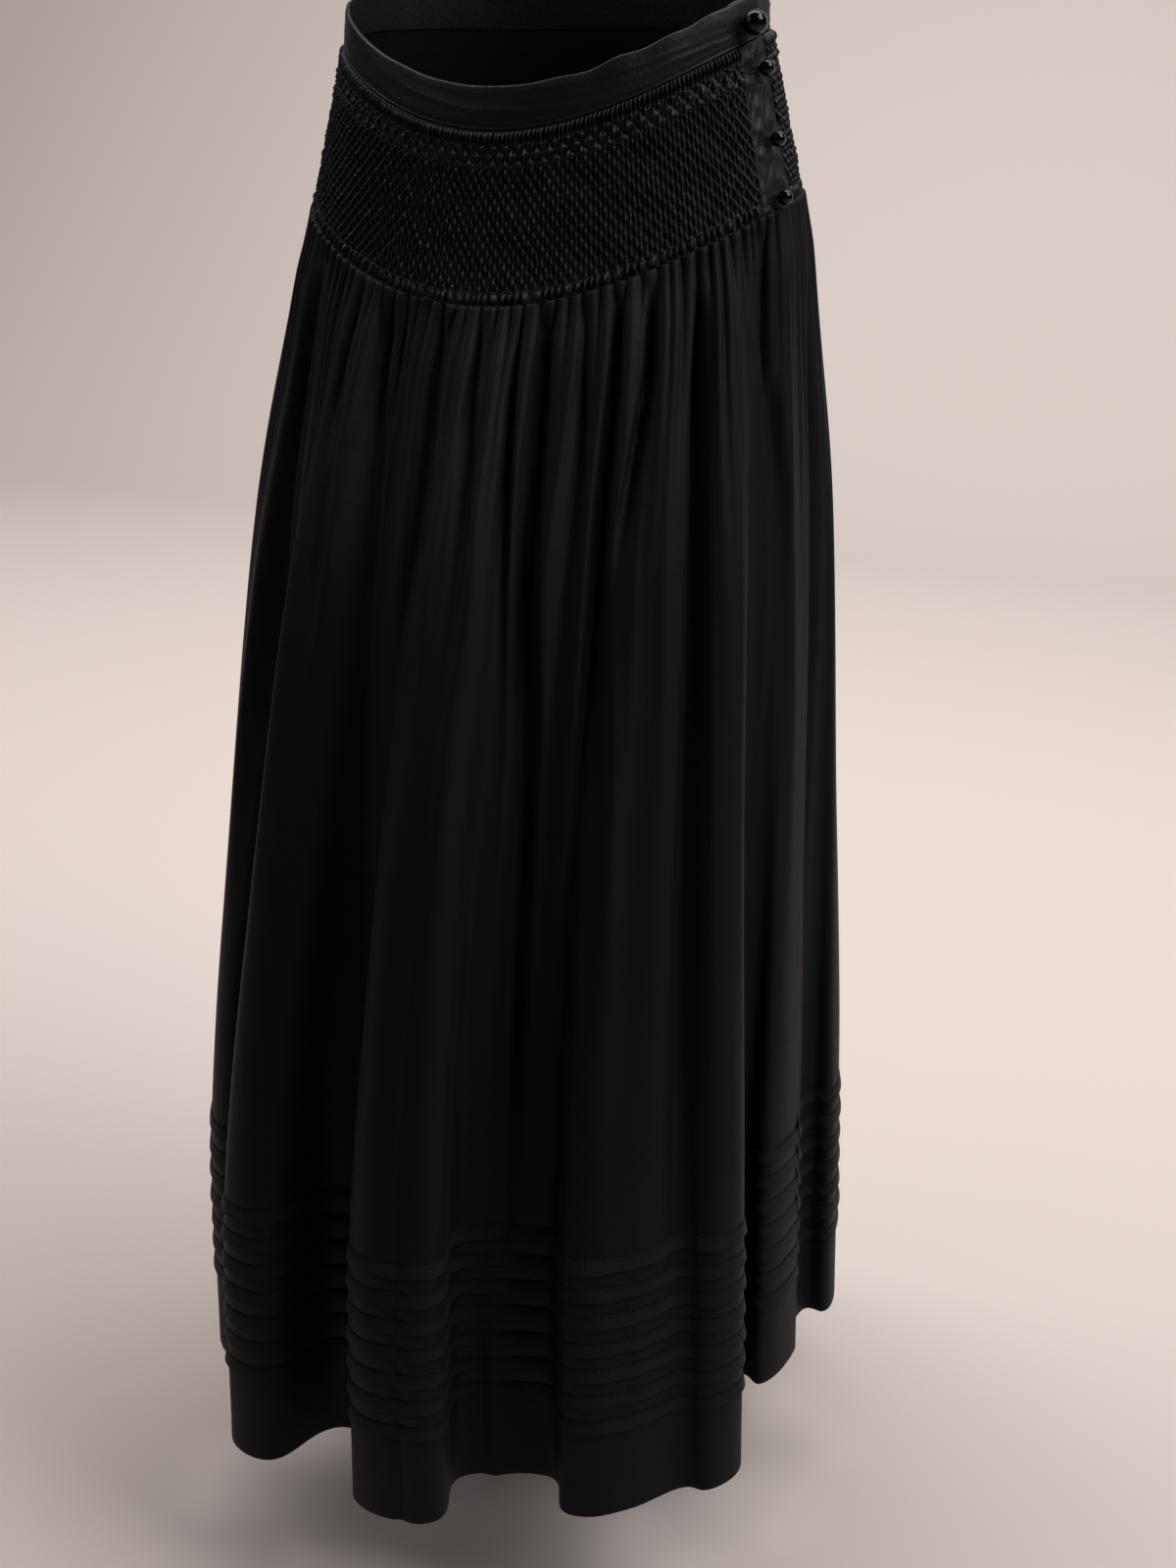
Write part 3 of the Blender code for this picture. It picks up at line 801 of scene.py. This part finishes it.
def tuckRelief():
    # Rows of the outer face: length down the cloth, lift, share of the edge's wave, share of the pucker
    start, step = cut["tuckStart"], cut["tuckStep"]
    # Plain cloth above the tucks: from, to, apart
    above = (
        (cut["yokeEnd"] - 0.0003, 0.136, 0.0024), (0.1380, 0.200, 0.0050),
        (0.2050, 0.450, 0.0075), (0.4580, start - 0.008, 0.0130),
    )
    rows = [(d, 0.0, 0.0, 0.0) for span in above for d in np.arange(*span)]
    rows.append((start - 0.0035, 0.0, 0.0, 0.5))
    for k in range(cut["tucks"]):
        for along, lift, wave in tuckRows:
            pucker = math.exp(-((min(along, step - along) / 0.0015) ** 2))
            rows.append((start + step * k + along, lift, wave, pucker))
    last = rows[-1][0]
    rows += [(d, 0.0, 0.0, 0.0) for d in np.linspace(last + 0.004, cut["hem"] - 0.0012, 10)]
    rows += [(cut["hem"] - 0.0004, -0.0002, 0.0, 0.0), (cut["hem"], -0.0006, 0.0, 0.0)]
    return np.array(rows)


def evenShares(start, end, number):
    # Columns spread half by cloth and half by their distance apart where the folds have opened
    fine = np.linspace(start, end, 4001)
    line = skirtPoint(0.45 + 0 * fine, fine)
    lengths = np.append(0, np.cumsum(np.linalg.norm(np.diff(line, axis=0), axis=1)))
    spread = 0.45 * (fine - start) / (end - start) + 0.55 * lengths / lengths[-1]
    return np.interp(np.linspace(0, 1, number), spread, fine)


def makeSkirtPanel(name, start, end, look):
    edge = -look["sideLap"] / 1.5
    share = evenShares(start + edge, end - edge, look["columns"] + 1)
    rows = tuckRelief()
    down, lift, wave, pucker = (rows[:, k, None] for k in range(4))
    number = np.floor((down - cut["tuckStart"]) / cut["tuckStep"] + 1e-6)
    s = share[None, :]
    edgeWave = wave * look["edgeWander"] * ripples(s, number * 0.11, 41, 6, (30, 120), (0.05, 0.2))
    at = np.clip(down + edgeWave * (down > 0.7), 0, cut["hem"])
    uneven = look["liftUneven"] * ripples(s, number * 0.13, 43, 6, (20, 90), (0.05, 0.2))
    lifted = lift * (1 + uneven * (lift > 0))
    puckers = pucker * look["pucker"] * ripples(s, number * 0.17, 47, 8, (160, 420), (0.03, 0.1))
    relief = lifted + puckers + gatherHeight(down, s, look)
    base = skirtPoint(at, s + 0 * at)
    outer = base + outwards(skirtPoint, at, s + 0 * at, 0.0012) * relief[..., None]
    outer[0, :, 2] = base[0, :, 2]
    top = cut["yokeEnd"] - 0.0003
    innerDowns = np.concatenate([
        [top], np.linspace(top + 0.0005, 0.2, 6), np.linspace(0.225, 0.78, 24),
        np.linspace(0.80, cut["hem"] - 0.0005, 8), [cut["hem"]],
    ])
    innerShare = evenShares(start + edge, end - edge, look["columns"] // 3 + 1)
    di, si = np.meshgrid(innerDowns, innerShare, indexing="ij")
    innerBase = skirtPoint(di, si)
    inner = innerBase - outwards(skirtPoint, di, si, 0.0012) * look["thick"]
    for edgeRow in (0, -1):
        inner[edgeRow, :, 2] = innerBase[edgeRow, :, 2]
    outerUv, innerUv = clothUv(s * cut["round"], down), clothUv(si * cut["round"], di)
    return closedShell(name, outer, outerUv, inner, innerUv, skirtSatin)


rightShare = round((cut["rightSeam"] - topTurn) / 360 * cut["seamColumns"]) / cut["seamColumns"]
leftShare = round((cut["leftSeam"] - topTurn) / 360 * cut["seamColumns"]) / cut["seamColumns"]
skirtFront = makeSkirtPanel("skirtFrontCloth", rightShare, leftShare, skirt)
skirtBack = makeSkirtPanel("skirtBackCloth", leftShare, rightShare + 1, skirt)
panels = (
    (skirtFront, "skirt_front", "yoke_front", 0.86),
    (skirtBack, "skirt_back", "yoke_back", 0.82),
)
for piece, node, above, wide in panels:
    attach(piece, "root")
    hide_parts(node)
print("skirt panels made")


placketAcross = 0.00194  # metres per degree at the side
placket = {
    "columns": 44,
    "rows": 120,
    "thick": 0.0014,
    "dimple": 0.0018,  # how deep the cloth is drawn in round a button
    "dimpleWide": 0.0095,
    "wrinkle": 0.0008,
    "edgeStitch": 0.0024,  # from the free edge to the stitch line
}
balls = (
    # name, node, angle, length down the cloth, diameter
    ("waistBall", "button_waist", 75.0, 0.0130, 0.0155),
    ("upperBall", "button_upper", 80.0, 0.0420, 0.0100),
    ("middleBall", "button_middle", 80.0, 0.0840, 0.0100),
    ("lowerBall", "button_lower", 79.0, 0.1185, 0.0100),
)


def placketHeight(down, degrees, look):
    total = look["wrinkle"] * ripples(degrees / 360, down * 3, 61, 9, (20, 90), (0.03, 0.08))
    for _, _, at, low, _ in balls[1:]:
        dx, dy = (degrees - at) * placketAcross, down - low
        away = np.hypot(dx, dy * 1.25)
        turn = np.arctan2(dy, dx)
        rays = 0.30 * np.cos(5 * turn + at + 1.1) + 0.18 * np.cos(9 * turn + 2.0)
        near = np.exp(-((away / look["dimpleWide"]) ** 2))
        total = total - look["dimple"] * near * (1 - 0.5 * rays)
        total = total + look["dimple"] * 0.75 * np.exp(-(((away - 0.0125) / 0.0045) ** 2)) * (0.8 + rays)
    return total


def makeStrip(name, start, end, out, look, dimpled):
    top, bottom = cut["bandDeep"] + cut["gap"], cut["yokeEnd"]
    downs = np.linspace(top, bottom, look["rows"] + 1)
    degrees = np.linspace(start, end, look["columns"] + 1)
    d, a = np.meshgrid(downs, degrees, indexing="ij")
    height = placketHeight(d, a, look) if dimpled else 0 * d
    fromEdge = np.minimum((a - start), (end - a)) * placketAcross
    fromEnd = np.minimum(d - top, bottom - d)
    height = height * smoothStep(fromEdge, 0.0, 0.003) * smoothStep(fromEnd, -0.0005, 0.003)
    groove = 0.00035 * np.exp(-(((fromEdge - look["edgeStitch"]) / 0.0006) ** 2)) if dimpled else 0
    roll = 0.0006 * (1 - smoothStep(fromEdge, 0.0, 0.0008))
    outer = ringPoint(d, a, out + 0.0002 + np.clip(height, -0.0011, 0.0022) - groove - roll)
    di, ai = np.meshgrid(np.linspace(top, bottom, 25), np.linspace(start, end, 13), indexing="ij")
    inner = ringPoint(di, ai, out - look["thick"])
    outerUv, innerUv = clothUv(a * placketAcross, d), clothUv(ai * placketAcross, di)
    return closedShell(name, outer, outerUv, inner, innerUv, bandSatin)


overlap = makeStrip("placketOverlapCloth", cut["placketFrom"], cut["placketTo"], 0.0006, placket, True)
underlap = makeStrip("placketUnderlapCloth", cut["underlapFrom"], cut["underlapTo"], -0.0021, placket, False)
for piece, node in ((overlap, "placket_overlap"), (underlap, "placket_underlap")):
    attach(piece, "root")
    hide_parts(node)
print("placket made")


def makeBall(name, node, degrees, down, diameter, lift):
    # A ball and its shank, turned about the cloth's normal
    base, near, far = (ringPoint(np.array(down), degrees, out) for out in (0.0009 + lift, 0.0, 0.01))
    out = Vector(far - near).normalized()
    side = Vector((0, 0, 1)).cross(out).normalized()
    up = out.cross(side)
    radius, shank, stand = diameter / 2, diameter * 0.14, 0.0012
    meet = math.asin(shank / radius)
    centre = stand + radius * math.cos(meet)
    profile = [(0.0, 0.0), (shank * 0.9, 0.0), (shank, 0.0002), (shank, 0.0009)]
    for k in range(25):
        turn = math.pi - meet - (math.pi - meet) * k / 24
        profile.append((radius * math.sin(turn), centre + radius * math.cos(turn)))
    profile[-1] = (0.0, centre + radius)
    around = 48
    points = [np.array(base)]
    for wide, high in profile[1:-1]:
        for k in range(around):
            t = 2 * math.pi * k / around
            round_ = side * math.cos(t) + up * math.sin(t)
            points.append(np.array(Vector(base) + out * high + round_ * wide))
    points.append(np.array(Vector(base) + out * (centre + radius)))
    points = np.array(points)
    loops = np.arange(1, len(points) - 1).reshape(-1, around)
    faces = []
    for k in range(around):
        n = (k + 1) % around
        faces.append((0, int(loops[0, n]), int(loops[0, k])))
        faces.append((len(points) - 1, int(loops[-1, k]), int(loops[-1, n])))
        for lower, upper in zip(loops, loops[1:]):
            faces.append((int(lower[k]), int(lower[n]), int(upper[n]), int(upper[k])))
    ball = makeMesh(name, points, faces, points[:, :2], buttonGloss)
    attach(ball, "root")
    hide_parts(node)
    return ball


for name, node, degrees, down, diameter in balls:
    makeBall(name, node, degrees, down, diameter, 0.0 if node == "button_waist" else 0.0006)
print("buttons made")


def stitchTree(material):
    # Small rounded stitches on points that carry their own turn and size
    tree = bpy.data.node_groups.new("stitches", "GeometryNodeTree")
    tree.interface.new_socket("Geometry", in_out="INPUT", socket_type="NodeSocketGeometry")
    thickness = tree.interface.new_socket("Thickness", in_out="INPUT", socket_type="NodeSocketFloat")
    thickness.default_value = 1.0
    tree.interface.new_socket("Geometry", in_out="OUTPUT", socket_type="NodeSocketGeometry")
    given = addNode(tree, "NodeGroupInput")
    ball = addNode(tree, "GeometryNodeMeshUVSphere", None, {"Segments": 6, "Rings": 3, "Radius": 0.5})
    turn = addNode(tree, "GeometryNodeInputNamedAttribute", {"data_type": "FLOAT_VECTOR"}, {"Name": "turn"})
    size = addNode(tree, "GeometryNodeInputNamedAttribute", {"data_type": "FLOAT_VECTOR"}, {"Name": "size"})
    rotation = addNode(tree, "FunctionNodeEulerToRotation", None, {"Euler": turn.outputs["Attribute"]})
    scaled = addNode(
        tree, "ShaderNodeVectorMath", {"operation": "SCALE"},
        {"Vector": size.outputs["Attribute"], "Scale": given.outputs["Thickness"]},
    )
    placed = addNode(tree, "GeometryNodeInstanceOnPoints", None, {
        "Points": given.outputs["Geometry"], "Instance": ball.outputs["Mesh"],
        "Rotation": rotation.outputs["Rotation"], "Scale": scaled.outputs["Vector"],
    })
    real = addNode(tree, "GeometryNodeRealizeInstances", None, {"Geometry": placed.outputs["Instances"]})
    soft = addNode(tree, "GeometryNodeSetShadeSmooth", None, {"Geometry": real.outputs["Geometry"]})
    made = addNode(
        tree, "GeometryNodeSetMaterial", None, {"Geometry": soft.outputs["Geometry"], "Material": material}
    )
    done = addNode(tree, "NodeGroupOutput")
    tree.links.new(made.outputs["Geometry"], done.inputs["Geometry"])
    return tree, thickness.identifier


stitches, thicknessInput = stitchTree(silkThread)


def sewOn(name, places, thickness=1.0):
    # places: point, direction along the stitch, outward normal, length, width, height
    mesh = bpy.data.meshes.new(name)
    mesh.from_pydata([tuple(p[0]) for p in places], [], [])
    turn = mesh.attributes.new("turn", "FLOAT_VECTOR", "POINT")
    size = mesh.attributes.new("size", "FLOAT_VECTOR", "POINT")
    turns, sizes = [], []
    for _, along, normal, length, wide, high in places:
        x = Vector(along).normalized()
        z = (Vector(normal) - x * x.dot(Vector(normal))).normalized()
        y = z.cross(x)
        turns.append(tuple(Matrix((x, y, z)).transposed().to_euler()))
        sizes.append((length, wide, high))
    turn.data.foreach_set("vector", np.array(turns, np.float32).ravel())
    size.data.foreach_set("vector", np.array(sizes, np.float32).ravel())
    holder = bpy.data.objects.new(name + "Points", mesh)
    bpy.context.scene.collection.objects.link(holder)
    modifier = holder.modifiers.new("stitches", "NODES")
    modifier.node_group = stitches
    modifier[thicknessInput] = thickness
    graph = bpy.context.evaluated_depsgraph_get()
    plain = bpy.data.meshes.new_from_object(holder.evaluated_get(graph))
    plain.name = name
    bpy.data.objects.remove(holder)
    obj = bpy.data.objects.new(name, plain)
    bpy.context.scene.collection.objects.link(obj)
    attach(obj, "root")
    return obj


def stitchPlaces(down, degrees, out, size, slant=0.0):
    # Stitches of this length, width and height on the ring; slant turns them down the cloth
    given = (np.atleast_1d(np.asarray(value, float)) for value in (down, degrees, slant))
    down, degrees, slant = np.broadcast_arrays(*given)
    points = ringPoint(down, degrees, out)
    across = ringPoint(down, degrees + 0.05, out) - ringPoint(down, degrees - 0.05, out)
    lower = ringPoint(down + 0.0005, degrees, out) - ringPoint(down - 0.0005, degrees, out)
    across /= np.linalg.norm(across, axis=-1, keepdims=True)
    lower /= np.linalg.norm(lower, axis=-1, keepdims=True)
    along = across * np.cos(slant)[..., None] + lower * np.sin(slant)[..., None]
    return [(p, t, n, *size) for p, t, n in zip(points, along, np.cross(across, -lower))]


def smockThreads(start, end, look):
    # Cable rows along the four zone edges and the small stitches that hold the honeycomb
    places = []
    _, trellisTo, combTo, _ = look["zones"]
    pleats = np.arange(math.ceil(pleatAt(start, look)) + 1, math.floor(pleatAt(end, look)) - 1)
    for line in look["zones"]:
        side = np.where(pleats % 2, 1, -1)
        degrees, out = degreesAt(pleats + 0.5, look), look["high"] * 0.62
        places += stitchPlaces(line + side * 0.00045, degrees, out, (0.0042, 0.0009, 0.0009), side * 0.12)
    rows = round((combTo - trellisTo) / look["halfRow"])
    for row in range(1, rows):
        held = pleats[(pleats + row) % 2 == 0]
        line = trellisTo + row * look["halfRow"]
        degrees, out = degreesAt(held + 0.5, look), look["high"] * 0.26
        places += stitchPlaces(line, degrees, out, (0.0020, 0.0007, 0.0008), 0.3)
    return places


frontThreads = smockThreads(cut["rightSeam"] + 0.06, cut["placketFrom"] - 0.12, smocking)
backThreads = smockThreads(cut["placketTo"] + 0.4, cut["rightSeam"] + 359.9, smocking)
sewOn("smockThreadsFront", frontThreads)
sewOn("smockThreadsBack", backThreads)

bandStitches = {"pitch": 0.0026, "length": 0.0020, "line": 0.0233}


def bandRow(look):
    number = round(0.80 / look["pitch"])
    degrees = np.linspace(cut["bandEnd"] - 358, cut["bandEnd"] - 0.6, number)
    out = bandInset(degrees, 0.0025) - 0.0001
    return stitchPlaces(look["line"], degrees, out, (look["length"], 0.0005, 0.0004))


sewOn("bandTopstitch", bandRow(bandStitches))


placketStitches = {"from": 0.0290, "to": 0.1245, "pitch": 0.0026, "length": 0.0020, "fromEdge": 1.24}


def placketRows(look):
    # Two lines, so many degrees in from the free edges
    places = []
    downs = np.arange(look["from"], look["to"], look["pitch"])
    for degrees in (cut["placketFrom"] + look["fromEdge"], cut["placketTo"] - look["fromEdge"]):
        places += stitchPlaces(downs, degrees, 0.0006, (look["length"], 0.0005, 0.0004), math.pi / 2)
    return places


sewOn("placketTopstitch", placketRows(placketStitches))


def buttonhole(degrees, down, length, out):
    # Worked oval of close stitches round a slit that runs from the button towards the front
    places = []
    around = 46
    for k in range(around):
        t = 2 * math.pi * k / around
        x, y = (length / 2) * math.cos(t), 0.0013 * math.sin(t)
        slant = math.atan2(0.35 * math.sin(t), math.cos(t) * 0.12) if abs(math.cos(t)) < 0.9 else 0.0
        at = degrees - (length * 0.30 - x) / placketAcross
        places += stitchPlaces(down + y, at, out, (0.0016, 0.0006, 0.0007), slant)
    return places


holePlaces = buttonhole(75.0, 0.0130, 0.0180, 0.0010)
for _, _, at, low, _ in balls[1:]:
    holePlaces += buttonhole(at, low, 0.0120, 0.0006)
sewOn("buttonholes", holePlaces)
print("stitches sewn")


tuckStitches = {"pitch": 0.0031, "length": 0.0021}


def tuckRowsOfStitches(start, end, look):
    places = []
    number = round((end - start) * cut["round"] / look["pitch"])
    share = np.linspace(start + 0.002, end - 0.002, number)
    for k in range(cut["tucks"]):
        down = np.full_like(share, cut["tuckStart"] + cut["tuckStep"] * k + 0.0001)
        points = skirtPoint(down, share)
        across = skirtPoint(down, share + 0.0005) - skirtPoint(down, share - 0.0005)
        normal = outwards(skirtPoint, down, share, 0.0012)
        found = zip(points, across, normal)
        places += [(p + n * 0.0001, t, n, look["length"], 0.0004, 0.0004) for p, t, n in found]
    return places


sewOn("tuckStitchesFront", tuckRowsOfStitches(rightShare, leftShare, tuckStitches))
sewOn("tuckStitchesBack", tuckRowsOfStitches(leftShare, rightShare + 1, tuckStitches))
print("tuck stitches sewn")


stage = {
    "floorAt": -1.125,
    "floorColour": "#c6bcb8",
    "world": "#e6e2de",
    "worldStrength": 0.055,
}


def makeStage(look):
    # Matt pale board
    material, tree, shader = newMaterial("paleFloor")
    setInputs(tree, shader, {"Base Color": colour(look["floorColour"]), "Roughness": 0.9})
    # A floor that curves up into a backdrop far behind
    rows = [(-6.0, 0.0), (3.0, 0.0)]
    rows += [(3.0 + 1.5 * math.sin(t), 1.5 - 1.5 * math.cos(t)) for t in np.linspace(0.1, math.pi / 2, 12)]
    rows += [(4.5, 7.0)]
    points = np.array([(x, y, look["floorAt"] + z) for y, z in rows for x in (-9.0, 9.0)])
    faces = [(2 * k, 2 * k + 1, 2 * k + 3, 2 * k + 2) for k in range(len(rows) - 1)]
    floor = makeMesh("floor", points, faces, points[:, :2], material)
    floor.visible_diffuse = False  # the dark cloth gets no light back from it, as in the photo's deep folds
    world = bpy.data.worlds.new("studio")
    bpy.context.scene.world = world
    world.use_nodes = True
    sky = world.node_tree.nodes["Background"]
    sky.inputs["Color"].default_value = colour(look["world"])
    sky.inputs["Strength"].default_value = look["worldStrength"]


def addLight(name, at, towards, size, power, tint):
    light = bpy.data.lights.new(name, "AREA")
    light.shape = "RECTANGLE"
    light.size, light.size_y = size
    light.energy = power
    light.color = colour(tint)[:3]
    obj = bpy.data.objects.new(name, light)
    obj.location = at
    obj.rotation_euler = (Vector(towards) - Vector(at)).to_track_quat("-Z", "Y").to_euler()
    bpy.context.scene.collection.objects.link(obj)


makeStage(stage)
# name, where it stands, where it shines, size, watts, colour
lights = (
    ("keyRight", (2.2, -0.35, 1.8), (0, 0, -0.25), (1.7, 1.8), 74, "#fffefd"),
    ("fillLeft", (-2.5, -1.9, 1.2), (0, 0, -0.5), (1.8, 2.2), 13, "#f8faff"),
    ("backdropLight", (-0.6, 0.9, 2.9), (-1.0, 3.4, 0.0), (5.6, 2.4), 295, "#fffaf8"),
)
for light in lights:
    addLight(*light)

view = {"lens": 43.5, "at": (0.535, -1.229, -0.043), "tiltDown": 0.364, "turn": 0.389}  # mm, metres, radians
cameraData = bpy.data.cameras.new("photoCamera")
cameraData.lens = view["lens"]
cameraData.sensor_width = 36
cameraData.clip_start = 0.02
camera = bpy.data.objects.new("photoCamera", cameraData)
camera.location = view["at"]
camera.rotation_euler = (math.pi / 2 - view["tiltDown"], 0, view["turn"])
bpy.context.scene.collection.objects.link(camera)
bpy.context.scene.camera = camera
bpy.context.scene.view_settings.view_transform = "Standard"
print("stage ready")
